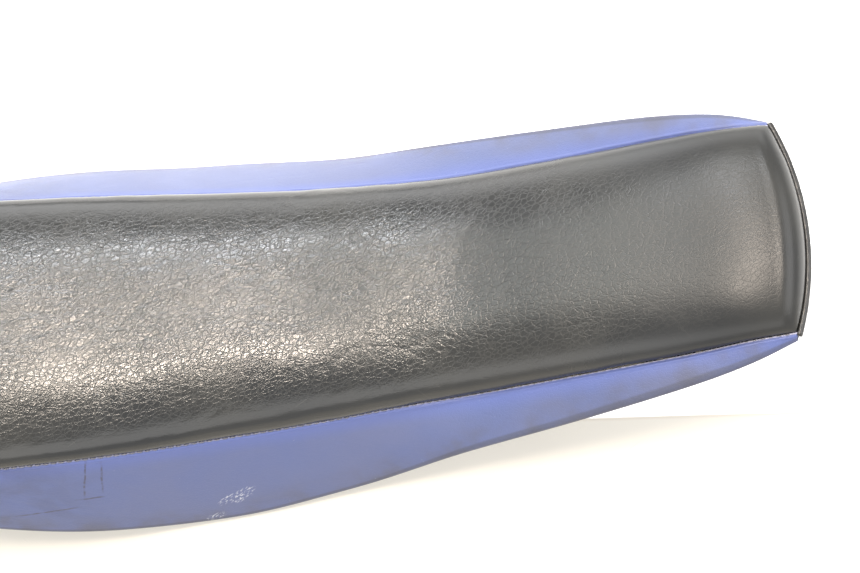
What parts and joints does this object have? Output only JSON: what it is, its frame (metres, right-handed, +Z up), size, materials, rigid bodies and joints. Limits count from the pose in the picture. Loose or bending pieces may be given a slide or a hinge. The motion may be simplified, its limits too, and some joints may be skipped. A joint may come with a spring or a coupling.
{
  "type": "motorcycle seat",
  "caption": "Long dished dual-sport motorcycle seat: foam on a ribbed plastic pan, two-colour sewn vinyl cover with rear piping, steel hook, tongue and side bolts.",
  "frame": {"origin": "middle of the half-round slot of the tank hook under the nose, on the hook plate's mid-plane", "axes": "+X to the rear along the seat, +Y to the rider's right, +Z up"},
  "size_m": [0.7258, 0.2546, 0.153],
  "materials": {
    "black_vinyl": "semi-gloss grained vinyl",
    "blue_vinyl": "satin fine-grained vinyl",
    "piping_vinyl": "satin vinyl",
    "cord": "braided cord",
    "thread": "twisted thread",
    "foam": "open-cell foam",
    "pan_plastic": "moulded",
    "black_steel": "satin black paint",
    "zinc_steel": "zinc plated",
    "staple_wire": "galvanised wire",
    "brass": "turned",
    "rubber": "moulded"
  },
  "bodies": {
    "seat": {"top_cover_panel": "black_vinyl", "right_side_panel": "blue_vinyl", "left_side_panel": "blue_vinyl", "rear_end_panel": "black_vinyl", "rear_piping": "piping_vinyl", "piping_cord": "cord", "right_seam_stitches": "thread", "left_seam_stitches": "thread", "cover_staples": "staple_wire", "foam_pad": "foam", "seat_pan": "pan_plastic", "tank_hook": "black_steel", "frame_tongue": "black_steel", "right_bracket": "black_steel", "left_bracket": "black_steel", "right_grommet": "rubber", "left_grommet": "rubber", "right_collar": "zinc_steel", "left_collar": "zinc_steel", "threaded_inserts": "brass", "bracket_washers": "zinc_steel", "bracket_screws": "zinc_steel", "tongue_washers": "zinc_steel", "tongue_screws": "zinc_steel", "hook_washers": "zinc_steel", "hook_screws": "zinc_steel", "front_buffers": "rubber", "rear_buffers": "rubber"},
    "right_washer": {"right_bolt_washer": "zinc_steel"},
    "right_bolt": {"right_mounting_bolt": "zinc_steel"},
    "left_washer": {"left_bolt_washer": "zinc_steel"},
    "left_bolt": {"left_mounting_bolt": "zinc_steel"}
  },
  "joints": [
    {"name": "right_bolt_travel", "type": "slide", "parent": "seat", "child": "right_washer", "axis": [0, 1, 0], "range_m": [0, 0.02]},
    {"name": "right_bolt_turn", "type": "hinge", "parent": "right_washer", "child": "right_bolt", "pos_m": [0.5, 0.0662, -0.067], "axis": [0, 1, 0], "continuous": true},
    {"name": "left_bolt_travel", "type": "slide", "parent": "seat", "child": "left_washer", "axis": [0, -1, 0], "range_m": [0, 0.02]},
    {"name": "left_bolt_turn", "type": "hinge", "parent": "left_washer", "child": "left_bolt", "pos_m": [0.5, -0.0662, -0.067], "axis": [0, -1, 0], "continuous": true}
  ]
}
